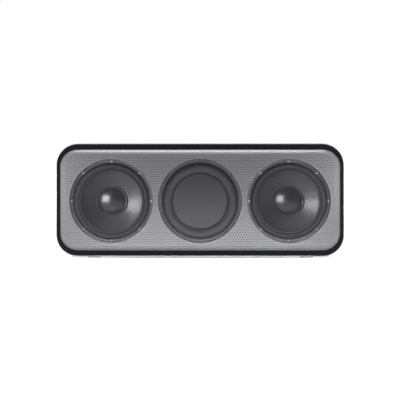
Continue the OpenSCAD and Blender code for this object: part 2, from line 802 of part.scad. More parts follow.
module feet() {
    color([0.15, 0.15, 0.15]) for (x = [-1, 1], y = foot_y) translate([x * foot_x, y, 0])
        rotate_extrude() polygon([[0, 0], [foot_r - 0.8, 0], [foot_r, 0.6],
            [foot_r, case_floor(y) + 1.6], [0, case_floor(y) + 1.6]]);
}

casing();
front_bezel();
front_grille();
guard(-driver_pitch);  // left_guard
guard(0);  // center_guard
guard(driver_pitch);  // right_guard
baffle();
baffle_gasket();
baffle_screws();
basket(-driver_pitch);  // left_basket
surround(-driver_pitch);  // left_surround
cone(-driver_pitch);  // left_cone
dust_cap(-driver_pitch);  // left_dust_cap
voice_coil(-driver_pitch);  // left_voice_coil
spider(-driver_pitch);  // left_spider
top_plate(-driver_pitch);  // left_top_plate
magnet(-driver_pitch);  // left_magnet
pole_plate(-driver_pitch);  // left_pole_plate
terminal(-driver_pitch);  // left_terminal
driver_screws(-driver_pitch);  // left_screws
basket(driver_pitch);  // right_basket
surround(driver_pitch);  // right_surround
cone(driver_pitch);  // right_cone
dust_cap(driver_pitch);  // right_dust_cap
voice_coil(driver_pitch);  // right_voice_coil
spider(driver_pitch);  // right_spider
top_plate(driver_pitch);  // right_top_plate
magnet(driver_pitch);  // right_magnet
pole_plate(driver_pitch);  // right_pole_plate
terminal(driver_pitch);  // right_terminal
driver_screws(driver_pitch);  // right_screws
radiator_frame();
radiator_surround();
radiator_disc();
radiator_weight();
main_board();
heat_sink();
radio_module();
capacitors();
lead_sockets();
battery_pack();
battery_bracket();
inner_screws();
dc_socket();
audio_socket();
port_panel();
control_panel();
button(0);  // power_button
button(1);  // minus_button
button(2);  // play_button
button(3);  // plus_button
button(4);  // source_button
button_board();
key_switches();
speaker_leads(-1);  // left_leads
speaker_leads(1);  // right_leads
battery_leads();
button_leads();
feet();
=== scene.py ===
import json
import math
import bmesh
import bpy
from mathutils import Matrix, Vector
from mathutils.geometry import delaunay_2d_cdt

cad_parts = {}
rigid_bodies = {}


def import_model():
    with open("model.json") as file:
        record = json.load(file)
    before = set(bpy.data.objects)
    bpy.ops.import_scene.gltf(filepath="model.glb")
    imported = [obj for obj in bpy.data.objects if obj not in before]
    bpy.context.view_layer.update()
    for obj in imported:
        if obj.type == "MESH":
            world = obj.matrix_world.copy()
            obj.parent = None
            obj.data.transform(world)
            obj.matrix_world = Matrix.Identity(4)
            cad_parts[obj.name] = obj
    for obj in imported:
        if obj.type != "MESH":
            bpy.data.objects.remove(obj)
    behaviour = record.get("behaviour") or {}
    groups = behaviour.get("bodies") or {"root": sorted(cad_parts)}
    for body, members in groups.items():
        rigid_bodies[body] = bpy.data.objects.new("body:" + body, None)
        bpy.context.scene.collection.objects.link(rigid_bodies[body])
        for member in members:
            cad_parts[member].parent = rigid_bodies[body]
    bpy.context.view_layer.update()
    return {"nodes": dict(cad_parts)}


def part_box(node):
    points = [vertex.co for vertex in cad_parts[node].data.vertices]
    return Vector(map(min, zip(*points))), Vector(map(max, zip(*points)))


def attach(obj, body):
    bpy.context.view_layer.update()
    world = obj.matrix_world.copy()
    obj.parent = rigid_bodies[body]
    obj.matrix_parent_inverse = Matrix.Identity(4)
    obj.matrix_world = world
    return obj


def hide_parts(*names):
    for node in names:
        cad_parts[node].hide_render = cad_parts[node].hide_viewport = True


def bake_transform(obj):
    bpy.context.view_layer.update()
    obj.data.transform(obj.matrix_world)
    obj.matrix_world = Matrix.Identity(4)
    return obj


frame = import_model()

# The speaker stands on a pale table in a white room whose end behind the camera is dark, and is
# photographed square from the front with a long lens. Soft lights hang overhead and behind, two at
# the left draw the glints on cones and caps, and narrow strips close to the front lift the grille.
MM = 0.001
case_low, case_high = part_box("casing")
middle_z = (case_low[2] + case_high[2]) / 2
bezel_face_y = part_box("front_bezel")[0][1]

camera_distance = 1700 * MM
camera_side_degrees = 0.8
photo_width = 392.5 * MM
sensor_width = 36
view_reach = 60
camera_tilt_degrees = 90


def linear(code):
    """Linear colour and alpha of an sRGB hex code."""
    parts = [int(code[i:i + 2], 16) / 255 for i in (0, 2, 4)]
    return (*[p / 12.92 if p <= 0.04045 else ((p + 0.055) / 1.055) ** 2.4 for p in parts], 1.0)


def fill(tree, node, values):
    """Sets a node's sockets: a value is a constant, or another node's output to link to it."""
    for name, value in values.items():
        if isinstance(value, bpy.types.NodeSocket):
            tree.links.new(value, node.inputs[name])
        else:
            node.inputs[name].default_value = value


def add(tree, kind, values=None, **settings):
    """Adds a node with its settings, then its sockets' values."""
    node = tree.nodes.new(kind)
    for name, setting in settings.items():
        setattr(node, name, setting)
    fill(tree, node, values or {})
    return node


def camera_sees(tree, direct, other):
    """Strength that is one value where the camera, a gloss or glass sees it, and another elsewhere."""
    path = add(tree, "ShaderNodeLightPath")
    either = add(tree, "ShaderNodeMath", {0: path.outputs["Is Camera Ray"],
        1: path.outputs["Is Glossy Ray"]}, operation="MAXIMUM")
    seen = add(tree, "ShaderNodeMath", {0: either.outputs[0],
        1: path.outputs["Is Transmission Ray"]}, operation="MAXIMUM")
    return add(tree, "ShaderNodeMapRange", {"Value": seen.outputs[0], "To Min": other,
        "To Max": direct}).outputs[0]


def link(thing):
    """Puts an object in the scene."""
    bpy.context.scene.collection.objects.link(thing)
    return thing


camera = link(bpy.data.objects.new("camera", bpy.data.cameras.new("camera")))
camera.data.sensor_width = sensor_width
camera.data.lens = sensor_width * camera_distance / photo_width
camera.data.clip_end = view_reach
turn = math.radians(camera_side_degrees)
camera.location = (camera_distance * math.sin(turn),
    bezel_face_y - camera_distance * math.cos(turn), middle_z)
camera.rotation_euler = (math.radians(camera_tilt_degrees), 0, turn)
bpy.context.scene.camera = camera

bpy.context.scene.view_settings.view_transform = "Standard"
world = bpy.data.worlds.new("white_room")
bpy.context.scene.world = world
world.use_nodes = True
tree = world.node_tree
tree.nodes.clear()
dark_end = -0.95
white_from_in_gloss, white_from_in_fill = -0.35, 0.3
dark_end_in_gloss = 0.3
dark_end_fill, white_end_fill = 0.04, 0.5
way = add(tree, "ShaderNodeSeparateXYZ",
    {0: add(tree, "ShaderNodeTexCoord").outputs["Generated"]})
in_gloss = add(tree, "ShaderNodeMapRange", {"Value": way.outputs["Y"],
    "From Min": dark_end, "From Max": white_from_in_gloss, "To Min": dark_end_in_gloss,
    "To Max": 1.0})
on_matt = add(tree, "ShaderNodeMapRange", {"Value": way.outputs["Y"],
    "From Min": dark_end, "From Max": white_from_in_fill, "To Min": dark_end_fill,
    "To Max": white_end_fill})
shown = add(tree, "ShaderNodeMix", {0: add(tree, "ShaderNodeLightPath").outputs["Is Glossy Ray"],
    2: 1.0, 3: in_gloss.outputs[0]})
sky = add(tree, "ShaderNodeBackground", {"Color": (1, 1, 1, 1),
    "Strength": camera_sees(tree, shown.outputs[0], on_matt.outputs[0])})
add(tree, "ShaderNodeOutputWorld", {"Surface": sky.outputs[0]})

# Each lamp's name, place, aim, width, height, watts, and whether glossy pieces mirror it.
lamps = {}
for name, place, aim, width, height, watts, glints in (
        ("cone_softbox", (-1.97, -0.98, 0.05), (0, 0, 0.06), 0.5, 1.4, 232.0, True),
        ("cap_spot", (-0.72, -0.95, 0.22), (0, 0, 0.06), 0.7, 0.7, 34.0, True),
        ("overhead_softbox", (0, 0.08, 0.7), (0, 0.08, 0), 0.8, 0.3, 2.0, True),
        ("rear_softbox", (0, 1.6, 0.9), (0, 0.04, 0.06), 1.2, 0.8, 7.0, True),
        ("top_strip", (0, -0.043, 0.2), (0, -0.043, 0), 0.26, 0.01, 0.29, True),
        ("low_strip", (0, -0.107, 0.010), (0, 0, 0.010), 0.24, 0.012, 0.1, False),
        ("grille_wash", (0, -0.082, 0.010), (0, 0, 0.010), 0.24, 0.012, 0.036, False),
        ("left_end_strip", (-0.175, -0.10, 0.075), (-0.125, -0.04, 0.065), 0.02, 0.06, 0.085, False),
        ("right_end_strip", (0.175, -0.10, 0.075), (0.125, -0.04, 0.065), 0.02, 0.06, 0.084, False)):
    light = bpy.data.lights.new(name, "AREA")
    light.shape = "RECTANGLE"
    light.size = width
    light.size_y = height
    light.energy = watts
    lamp = link(bpy.data.objects.new(name, light))
    lamp.location = place
    lamp.rotation_euler = (Vector(aim) - Vector(place)).to_track_quat("-Z", "Y").to_euler()
    lamp.visible_camera = False
    lamp.visible_glossy = glints
    lamps[name] = lamp

table_reach = 12
table_top = bpy.data.meshes.new("table_top")
table_top.from_pydata([(x * table_reach, y * table_reach, 0)
    for x, y in ((-1, -1), (1, -1), (1, 1), (-1, 1))], [], [(0, 1, 2, 3)])
link(bpy.data.objects.new("table_top", table_top))
laminate = bpy.data.materials.new("white_table_laminate")
laminate.use_nodes = True
tree = laminate.node_tree
tree.nodes.clear()
# The floor's camera-only glow is weaker near the speaker than further off: painted shade round it that
# deepens its shadow.
glow_near, glow_far = 0.3, 0.85
near_reach, far_reach = 0.07, 0.17
away = add(tree, "ShaderNodeVectorMath",
    {0: add(tree, "ShaderNodeTexCoord").outputs["Object"]}, operation="LENGTH")
glow_with_painted_shade = add(tree, "ShaderNodeMapRange", {"Value": away.outputs["Value"], "From Min": near_reach,
    "From Max": far_reach, "To Min": glow_near, "To Max": glow_far})
matt = add(tree, "ShaderNodeBsdfDiffuse", {"Color": linear("F2F2F2")})
glow = add(tree, "ShaderNodeEmission", {"Strength": camera_sees(tree, glow_with_painted_shade.outputs[0], 0.0)})
lit = add(tree, "ShaderNodeAddShader", {0: matt.outputs[0], 1: glow.outputs[0]})
seen_through = add(tree, "ShaderNodeBsdfTransparent")
facing = add(tree, "ShaderNodeNewGeometry")
top_only = add(tree, "ShaderNodeMixShader", {0: facing.outputs["Backfacing"],
    1: lit.outputs[0], 2: seen_through.outputs[0]})
add(tree, "ShaderNodeOutputMaterial", {"Surface": top_only.outputs[0]})
table_top.materials.append(laminate)


# Casing: one injection moulding in white ABS, open at the front, with the socket bay in its back and
# four foot pockets underneath. Its parting line runs round the mouth, where the bezel hides it.
def finish_of(name, colour, roughness, metallic=0.0, ior=1.5):
    """Starts a finish: its material, node tree, shader with plain constants, and place in metres."""
    material = bpy.data.materials.new(name)
    material.use_nodes = True
    tree = material.node_tree
    shader = tree.nodes["Principled BSDF"]
    fill(tree, shader, {"Base Color": linear(colour), "Roughness": roughness,
        "Metallic": metallic, "IOR": ior})
    return material, tree, shader, add(tree, "ShaderNodeTexCoord").outputs["Object"]


def dress(material, *nodes):
    """Gives CAD nodes their finish."""
    for node in nodes:
        mesh = frame["nodes"][node].data
        mesh.materials.clear()
        mesh.materials.append(material)


# White ABS out of a spark eroded tool: warm white with a very even fine grain and a soft satin shine.
abs_grain = 0.7
abs_cloud = 40
white_abs, tree, shader, spot = finish_of("white_spark_eroded_abs", "EDEDEB", 0.42)
spark = add(tree, "ShaderNodeTexNoise", {"Vector": spot, "Scale": 1 / (abs_grain * MM),
    "Detail": 3.0, "Roughness": 0.55})
cloud = add(tree, "ShaderNodeTexNoise", {"Vector": spot, "Scale": 1 / (abs_cloud * MM)})
tint = add(tree, "ShaderNodeMix", {0: cloud.outputs["Fac"], 6: linear("EBEBE8"),
    7: linear("F0F0EF")}, data_type="RGBA")
shine = add(tree, "ShaderNodeMapRange", {"Value": spark.outputs["Fac"], "To Min": 0.36,
    "To Max": 0.5})
relief = add(tree, "ShaderNodeBump", {"Height": spark.outputs["Fac"], "Distance": 0.03 * MM,
    "Strength": 0.35})
fill(tree, shader, {"Base Color": tint.outputs[2], "Roughness": shine.outputs[0],
    "Normal": relief.outputs[0]})
dress(white_abs, "casing")


# Baffle: the black ABS plate that carries the three units. It sits on a foam gasket in the mouth of
# the casing and is held by eight black screws that the bezel covers.
# Black ABS from a plain ground tool: dark grey rather than black, dull, with a fine grain.
baffle_grain = 0.8
black_abs, tree, shader, spot = finish_of("black_moulded_abs", "17171A", 0.55)
spark = add(tree, "ShaderNodeTexNoise", {"Vector": spot, "Scale": 1 / (baffle_grain * MM),
    "Detail": 3.0})
tint = add(tree, "ShaderNodeMix", {0: spark.outputs["Fac"], 6: linear("141416"),
    7: linear("1C1C1F")}, data_type="RGBA")
relief = add(tree, "ShaderNodeBump", {"Height": spark.outputs["Fac"], "Distance": 0.04 * MM,
    "Strength": 0.4})
fill(tree, shader, {"Base Color": tint.outputs[2], "Normal": relief.outputs[0]})
dress(black_abs, "baffle")

# Closed cell foam, die cut: quite matt, with the cut cells as small pits painted darker as their
# shade.
cell_size = 0.5
foam, tree, shader, spot = finish_of("black_closed_cell_foam", "1B1B1D", 0.95)
cells = add(tree, "ShaderNodeTexVoronoi", {"Vector": spot, "Scale": 1 / (cell_size * MM)})
tint = add(tree, "ShaderNodeMix", {0: cells.outputs["Distance"], 6: linear("111112"),
    7: linear("232325")}, data_type="RGBA")
relief = add(tree, "ShaderNodeBump", {"Height": cells.outputs["Distance"], "Distance": 0.1 * MM,
    "Strength": 0.6})
fill(tree, shader, {"Base Color": tint.outputs[2], "Normal": relief.outputs[0]})
dress(foam, "baffle_gasket")

# Hot blackened steel: near black with a low metal sheen, cloudy where the oil film is thicker.
oil_patch = 0.4
black_oxide, tree, shader, spot = finish_of("black_oxide_steel", "2A2A2C", 0.4, 1.0)
film = add(tree, "ShaderNodeTexNoise", {"Vector": spot, "Scale": 1 / (oil_patch * MM)})
shine = add(tree, "ShaderNodeMapRange", {"Value": film.outputs["Fac"], "To Min": 0.32,
    "To Max": 0.5})
fill(tree, shader, {"Roughness": shine.outputs[0]})
dress(black_oxide, "baffle_screws", "inner_screws")


# Drivers: a pressed steel basket screwed to the baffle holds a ring magnet between two zinc plated
# plates. A paper cone hangs in it from a rubber surround and a cloth spider, with a copper voice
# coil on its neck and a glossy dust cap over it. The surround's roll is in two halves.
flange_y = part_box("left_basket")[0][1] / MM
neck_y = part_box("left_dust_cap")[1][1] / MM
turning_steps = 128
crease_degrees = 35
same_place = 1e-7
screw_count = 8
screw_circle = 39.1
screw_head_r, screw_head_h = 1.5, 0.9
screw_shank_r, screw_shank_len = 1.0, 4.2
screw_steps = 24
screw_head = ((1, 0), (1, 0.45), (0.88, 0.86), (0.7, 1))
slot_half = screw_head_r * 0.14
slot_reach, slot_depth = screw_head_r * 0.62, screw_head_h * 0.62
roll_steps = 12
cone_rim_r, cone_face_r, cone_neck_r, cone_t = 31.6, 30.2, 16.0, 0.6
cone_drop, cone_sweep, cone_steps = 0.3, 0.86, 20
former_r, former_t, former_len = 12.8, 0.6, 2.2
cap_r, cap_rise, cap_t, cap_steps = 13.3, 4.2, 0.5, 20
bead_r, bead_thick, bead_steps = 14.4, 0.75, 8
# A roll's inner and outer radius, rise and thickness, and the widths of its inner and outer lip.
narrow_roll = (32.0, 37.0, 1.7, 0.5, 1.5, 0.9)
wide_roll = (27.6, 37.0, 3.0, 0.6, 0.7, 1.0)


def place_mesh(name, points, faces, material, body=None):
    """Makes a piece in metres with its faces turned outwards and its sharp edges kept crisp."""
    mesh = bpy.data.meshes.new(name)
    mesh.from_pydata(points, [], faces)
    shape = bmesh.new()
    shape.from_mesh(mesh)
    bmesh.ops.remove_doubles(shape, verts=shape.verts, dist=same_place)
    bmesh.ops.recalc_face_normals(shape, faces=shape.faces)
    shape.to_mesh(mesh)
    shape.free()
    mesh.shade_smooth()
    mesh.set_sharp_from_angle(angle=math.radians(crease_degrees))
    mesh.materials.append(material)
    piece = link(bpy.data.objects.new(name, mesh))
    if body:
        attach(piece, body)
    return piece


def turned(name, section, axis, material, body=None):
    """Spins a closed section of (radius, depth) in mm round an axis at (x, z) that runs along Y."""
    steps, count = turning_steps, len(section)
    points, faces = [], []
    for radius, depth in section:
        for step in range(steps):
            angle = 2 * math.pi * step / steps
            points.append((axis[0] + radius * MM * math.cos(angle), depth * MM,
                axis[1] + radius * MM * math.sin(angle)))
    for i in range(count):
        j = (i + 1) % count
        if section[i][0] == 0 and section[j][0] == 0:
            continue
        for step in range(steps):
            after = (step + 1) % steps
            faces.append((i * steps + step, i * steps + after, j * steps + after, j * steps + step))
    return place_mesh(name, points, faces, material, body)


def arc(center, radius, start, end, count):
    """Points round a circle in a section, between two angles in degrees."""
    return [(center[0] + radius * math.cos(math.radians(start + (end - start) * i / count)),
        center[1] + radius * math.sin(math.radians(start + (end - start) * i / count)))
        for i in range(count + 1)]


# Grey stoving paint on pressed steel: mid grey, satin, with a fine mottle from the spray.
spray_mottle = 0.6
grey_paint, tree, shader, spot = finish_of("grey_painted_pressed_steel", "84848A", 0.42)
mottle = add(tree, "ShaderNodeTexNoise", {"Vector": spot, "Scale": 1 / (spray_mottle * MM),
    "Detail": 3.0})
tint = add(tree, "ShaderNodeMix", {0: mottle.outputs["Fac"], 6: linear("7E7E83"),
    7: linear("8A8A90")}, data_type="RGBA")
shine = add(tree, "ShaderNodeMapRange", {"Value": mottle.outputs["Fac"], "To Min": 0.36,
    "To Max": 0.5})
relief = add(tree, "ShaderNodeBump", {"Height": mottle.outputs["Fac"], "Distance": 0.02 * MM,
    "Strength": 0.4})
fill(tree, shader, {"Base Color": tint.outputs[2], "Roughness": shine.outputs[0],
    "Normal": relief.outputs[0]})

# Pressed butyl rubber: dark grey, half matt, with a broad soft highlight along the roll.
bloom_patch = 1.5
butyl, tree, shader, spot = finish_of("black_butyl_rubber", "434348", 0.53, ior=1.52)
bloom = add(tree, "ShaderNodeTexNoise", {"Vector": spot, "Scale": 1 / (bloom_patch * MM),
    "Detail": 3.0})
shine = add(tree, "ShaderNodeMapRange", {"Value": bloom.outputs["Fac"], "To Min": 0.46,
    "To Max": 0.6})
relief = add(tree, "ShaderNodeBump", {"Height": bloom.outputs["Fac"], "Distance": 0.02 * MM,
    "Strength": 0.3})
fill(tree, shader, {"Roughness": shine.outputs[0], "Normal": relief.outputs[0]})

# Paper pulp formed wet and coated: dark grey, with long matted fibres under a thin satin film.
fibre_length = 1.1
pulp, tree, shader, spot = finish_of("coated_paper_pulp", "37373D", 0.42)
fibre = add(tree, "ShaderNodeTexNoise", {"Vector": spot, "Scale": 1 / (fibre_length * MM),
    "Detail": 6.0, "Roughness": 0.7, "Distortion": 1.5})
tint = add(tree, "ShaderNodeMix", {0: fibre.outputs["Fac"], 6: linear("313137"),
    7: linear("3E3E44")}, data_type="RGBA")
shine = add(tree, "ShaderNodeMapRange", {"Value": fibre.outputs["Fac"], "To Min": 0.36,
    "To Max": 0.5})
relief = add(tree, "ShaderNodeBump", {"Height": fibre.outputs["Fac"], "Distance": 0.06 * MM,
    "Strength": 0.5})
fill(tree, shader, {"Base Color": tint.outputs[2], "Roughness": shine.outputs[0],
    "Normal": relief.outputs[0]})

# Polypropylene from a polished tool: dark and glossy, with one clear highlight on the dome.
haze_patch = 2.0
cap_gloss, tree, shader, spot = finish_of("glossy_polypropylene", "161618", 0.3, ior=1.49)
haze = add(tree, "ShaderNodeTexNoise", {"Vector": spot, "Scale": 1 / (haze_patch * MM)})
shine = add(tree, "ShaderNodeMapRange", {"Value": haze.outputs["Fac"], "To Min": 0.26,
    "To Max": 0.35})
fill(tree, shader, {"Roughness": shine.outputs[0], "Coat Weight": 0.4, "Coat Roughness": 0.22})

# Contact glue round the cap: a dark wet looking bead that is a little uneven.
bead_wave = 3.0
glue, tree, shader, spot = finish_of("black_contact_glue", "38383B", 0.25)
wave = add(tree, "ShaderNodeTexNoise", {"Vector": spot, "Scale": 1 / (bead_wave * MM)})
relief = add(tree, "ShaderNodeBump", {"Height": wave.outputs["Fac"], "Distance": 0.15 * MM,
    "Strength": 0.5})
fill(tree, shader, {"Normal": relief.outputs[0]})

# Bright zinc plate on steel screws: pale and shiny, slightly uneven.
plate_patch = 0.5
zinc, tree, shader, spot = finish_of("bright_zinc_plate", "C9CCCF", 0.3, 1.0)
patches = add(tree, "ShaderNodeTexNoise", {"Vector": spot, "Scale": 1 / (plate_patch * MM)})
shine = add(tree, "ShaderNodeMapRange", {"Value": patches.outputs["Fac"], "To Min": 0.24,
    "To Max": 0.4})
fill(tree, shader, {"Roughness": shine.outputs[0]})

# Barrel plated steel plates: duller and greyer, with fine marks from tumbling.
tumble_mark = 0.9
motor_steel, tree, shader, spot = finish_of("zinc_plated_steel", "B9BBBE", 0.36, 1.0)
marks = add(tree, "ShaderNodeTexNoise", {"Vector": spot, "Scale": 1 / (tumble_mark * MM),
    "Detail": 5.0})
shine = add(tree, "ShaderNodeMapRange", {"Value": marks.outputs["Fac"], "To Min": 0.28,
    "To Max": 0.46})
relief = add(tree, "ShaderNodeBump", {"Height": marks.outputs["Fac"], "Distance": 0.01 * MM,
    "Strength": 0.3})
fill(tree, shader, {"Roughness": shine.outputs[0], "Normal": relief.outputs[0]})

# Sintered ferrite with ground faces: charcoal grey, dull, speckled.
ferrite_speck = 0.4
ferrite, tree, shader, spot = finish_of("ground_ferrite", "39393B", 0.6, ior=2.0)
specks = add(tree, "ShaderNodeTexNoise", {"Vector": spot, "Scale": 1 / (ferrite_speck * MM),
    "Detail": 5.0})
tint = add(tree, "ShaderNodeMix", {0: specks.outputs["Fac"], 6: linear("2E2E30"),
    7: linear("434346")}, data_type="RGBA")
fill(tree, shader, {"Base Color": tint.outputs[2]})

# Enamelled copper wire wound in one layer: orange metal with a groove between the turns.
wire_pitch = 0.35
copper, tree, shader, spot = finish_of("enamelled_copper_winding", "B8612F", 0.3, 1.0)
turns = add(tree, "ShaderNodeTexWave", {"Vector": spot, "Scale": 1 / (wire_pitch * MM * math.tau)},
    bands_direction="Y")
relief = add(tree, "ShaderNodeBump", {"Height": turns.outputs["Fac"], "Distance": 0.1 * MM,
    "Strength": 0.8})
fill(tree, shader, {"Normal": relief.outputs[0]})

# Cotton cloth stiffened with resin: straw brown, matt, in a plain weave.
thread_pitch = 0.6
spider_cloth, tree, shader, spot = finish_of("resin_stiffened_cloth", "B8935A", 0.85)
weave = add(tree, "ShaderNodeTexBrick", {"Vector": spot, "Scale": 1 / (thread_pitch * MM),
    "Color1": linear("C29C62"), "Color2": linear("AD8850"), "Mortar": linear("8A6A3A")})
relief = add(tree, "ShaderNodeBump", {"Height": weave.outputs["Fac"], "Distance": 0.08 * MM,
    "Strength": 0.6})
fill(tree, shader, {"Base Color": weave.outputs["Color"], "Normal": relief.outputs[0]})

# Resin bonded paper, punched from sheet: mid brown with a paper fleck, half glossy.
paper_fleck = 0.8
paxolin, tree, shader, spot = finish_of("resin_bonded_paper", "7A4B22", 0.5)
fleck = add(tree, "ShaderNodeTexNoise", {"Vector": spot, "Scale": 1 / (paper_fleck * MM),
    "Detail": 4.0})
tint = add(tree, "ShaderNodeMix", {0: fleck.outputs["Fac"], 6: linear("6E421D"),
    7: linear("875529")}, data_type="RGBA")
fill(tree, shader, {"Base Color": tint.outputs[2]})

# Extruded PVC on the wires: plain red with a light shine that varies along the wire.
pvc_patch = 1.0
lead_pvc, tree, shader, spot = finish_of("red_pvc_insulation", "A8201E", 0.4)
skin = add(tree, "ShaderNodeTexNoise", {"Vector": spot, "Scale": 1 / (pvc_patch * MM)})
shine = add(tree, "ShaderNodeMapRange", {"Value": skin.outputs["Fac"], "To Min": 0.34,
    "To Max": 0.5})
fill(tree, shader, {"Roughness": shine.outputs[0]})


def half_roll(inner_r, outer_r, rise, thick, inner_lip, outer_lip, side):
    """Section of one half of a surround's roll: the outer half ends in the lip on the flange, the
    inner one in the lip on the cone."""
    half = (outer_r - inner_r) / 2
    roll_r = (half * half + rise * rise) / (2 * rise)
    center = ((inner_r + outer_r) / 2, flange_y - rise + roll_r)
    end = -90 + math.degrees(math.asin(half / roll_r)) * side
    lip = outer_r + outer_lip if side > 0 else inner_r - inner_lip
    return (arc(center, roll_r, -90, end, roll_steps) + [(lip, flange_y - thick), (lip, flange_y)]
        + arc(center, roll_r - thick, end, -90, roll_steps))


def surround(name, sizes, axis, rubber):
    """Lays both halves of a roll between the flange and what moves."""
    rise = sizes[2]
    lip = (0, flange_y * MM, 0)
    beyond = (0, (flange_y - 2 * rise) * MM, 0)
    for half, side, start, end in (("outer", 1, lip, beyond), ("inner", -1, beyond, lip)):
        piece = turned(f"{name}_surround_{half}", half_roll(*sizes, side), axis, rubber)
        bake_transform(piece)
        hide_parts(name + "_surround")


def cross_screw(name, spots, material):
    """Low pan head screws with a cross recess, one under its head at each (x, y, z)."""
    rings = [(share_r * screw_head_r, -share_h * screw_head_h) for share_r, share_h in screw_head]
    rings += [(screw_shank_r, 0), (screw_shank_r, screw_shank_len)]
    quarter = [(slot_reach, -slot_half), (slot_reach, slot_half), (slot_half, slot_half)]
    cross = []
    for u_turn, v_turn in ((1, 0), (0, 1), (-1, 0), (0, -1)):
        cross += [(u * u_turn - v * v_turn, u * v_turn + v * u_turn) for u, v in quarter]
    points, faces = [], []
    for x, y, z in spots:
        base = len(points)
        for radius, depth in rings:
            points += [(x + radius * math.cos(math.tau * i / screw_steps), y + depth,
                z + radius * math.sin(math.tau * i / screw_steps))
                for i in range(screw_steps)]
        for lower, upper in ((0, 1), (1, 2), (2, 3), (4, 5), (0, 4)):
            for i in range(screw_steps):
                a, b = base + lower * screw_steps, base + upper * screw_steps
                j = (i + 1) % screw_steps
                faces.append((a + i, a + j, b + j, b + i))
        faces.append([base + 5 * screw_steps + i for i in range(screw_steps)])
        top = len(points)
        points += [(x + u, y - screw_head_h, z + v) for u, v in cross]
        points += [(x + u, y - screw_head_h + slot_depth, z + v) for u, v in cross]
        for i in range(len(cross)):
            j = (i + 1) % len(cross)
            faces.append((top + i, top + j, top + len(cross) + j, top + len(cross) + i))
        faces.append([top + len(cross) + i for i in range(len(cross))])
        face_ids = [base + 3 * screw_steps + i for i in range(screw_steps)]
        face_ids += [top + i for i in range(len(cross))]
        flat = [Vector((points[i][0], points[i][2])) for i in face_ids]
        loops = [list(range(screw_steps)), list(range(screw_steps, screw_steps + len(cross)))]
        found = delaunay_2d_cdt(flat, [], loops, 1, same_place)
        for triangle, source in zip(found[2], found[5]):
            if source == [0]:
                faces.append([face_ids[found[3][corner][0]] for corner in triangle])
    return place_mesh(name, [tuple(v * MM for v in p) for p in points], faces, material, "root")


def axis_of(node):
    """Middle of a round node as (x, z)."""
    low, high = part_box(node)
    return ((low[0] + high[0]) / 2, (low[2] + high[2]) / 2)


for side in ("left", "right"):
    axis = axis_of(side + "_basket")
    moving = side + "_moving_cone"
    dress(grey_paint, side + "_basket")
    dress(motor_steel, side + "_top_plate", side + "_pole_plate")
    dress(ferrite, side + "_magnet")
    dress(copper, side + "_voice_coil")
    dress(spider_cloth, side + "_spider")
    dress(paxolin, side + "_terminal")
    dress(lead_pvc, side + "_leads")
    spots = [(axis[0] / MM + screw_circle * math.cos(math.tau * i / screw_count), flange_y,
        axis[1] / MM + screw_circle * math.sin(math.tau * i / screw_count))
        for i in range(screw_count)]
    screws = cross_screw(side + "_flange_screws", spots, zinc)
    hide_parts(side + "_screws")
    surround(side, narrow_roll, axis, butyl)

    edge_y = flange_y + cone_drop
    face = [(cone_face_r - (cone_face_r - cone_neck_r) * i / cone_steps,
        edge_y + (neck_y - edge_y) * (i / cone_steps) ** cone_sweep) for i in range(cone_steps + 1)]
    former_end = neck_y + former_len
    section = [(cone_rim_r, edge_y)] + face + [(former_r, neck_y), (former_r, former_end),
        (former_r + former_t, former_end), (former_r + former_t, neck_y + cone_t)]
    section += [(radius, depth + cone_t) for radius, depth in reversed(face)]
    section.append((cone_rim_r, edge_y + cone_t))
    cone = turned(side + "_paper_cone", section, axis, pulp, moving)
    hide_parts(side + "_cone")

    ball = (cap_r ** 2 + cap_rise ** 2) / (2 * cap_rise)
    rim = -90 + math.degrees(math.asin(cap_r / ball))
    center = (0, neck_y - cap_rise + ball)
    dome = (arc(center, ball, -90, rim, cap_steps)
        + arc(center, ball - cap_t, rim, -90, cap_steps))
    cap = turned(side + "_gloss_dust_cap", dome, axis, cap_gloss, moving)
    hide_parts(side + "_dust_cap")
    bead_section = arc((bead_r, neck_y), bead_thick, 180, 360, bead_steps)
    bead = turned(side + "_glue_bead", bead_section, axis, glue, moving)


# Passive radiator: the same frame without a motor. A wide rubber roll carries a flat moulded disc
# with a steel weight behind it, and moves with the air that the two drivers push.
# Polypropylene from a spark eroded tool: flat dark grey with a fine even grain and no glare.
disc_grain = 0.9
disc_black, tree, shader, spot = finish_of("matt_moulded_polypropylene", "5B5A5D", 0.6)
spark = add(tree, "ShaderNodeTexNoise", {"Vector": spot, "Scale": 1 / (disc_grain * MM),
    "Detail": 3.0})
tint = add(tree, "ShaderNodeMix", {0: spark.outputs["Fac"], 6: linear("565557"),
    7: linear("605F62")}, data_type="RGBA")
relief = add(tree, "ShaderNodeBump", {"Height": spark.outputs["Fac"], "Distance": 0.03 * MM,
    "Strength": 0.4})
fill(tree, shader, {"Base Color": tint.outputs[2], "Normal": relief.outputs[0]})

# Rubber for the wide roll, with the same broad gloss: its colour, a shade paler than butyl, is painted
# light.
paler_lit_rubber_patch = 1.8
paler_lit_rubber, tree, shader, spot = finish_of("grey_nitrile_rubber", "515156", 0.46, ior=1.52)
bloom = add(tree, "ShaderNodeTexNoise", {"Vector": spot, "Scale": 1 / (paler_lit_rubber_patch * MM),
    "Detail": 3.0})
shine = add(tree, "ShaderNodeMapRange", {"Value": bloom.outputs["Fac"], "To Min": 0.38,
    "To Max": 0.54})
relief = add(tree, "ShaderNodeBump", {"Height": bloom.outputs["Fac"], "Distance": 0.02 * MM,
    "Strength": 0.3})
fill(tree, shader, {"Roughness": shine.outputs[0], "Normal": relief.outputs[0]})

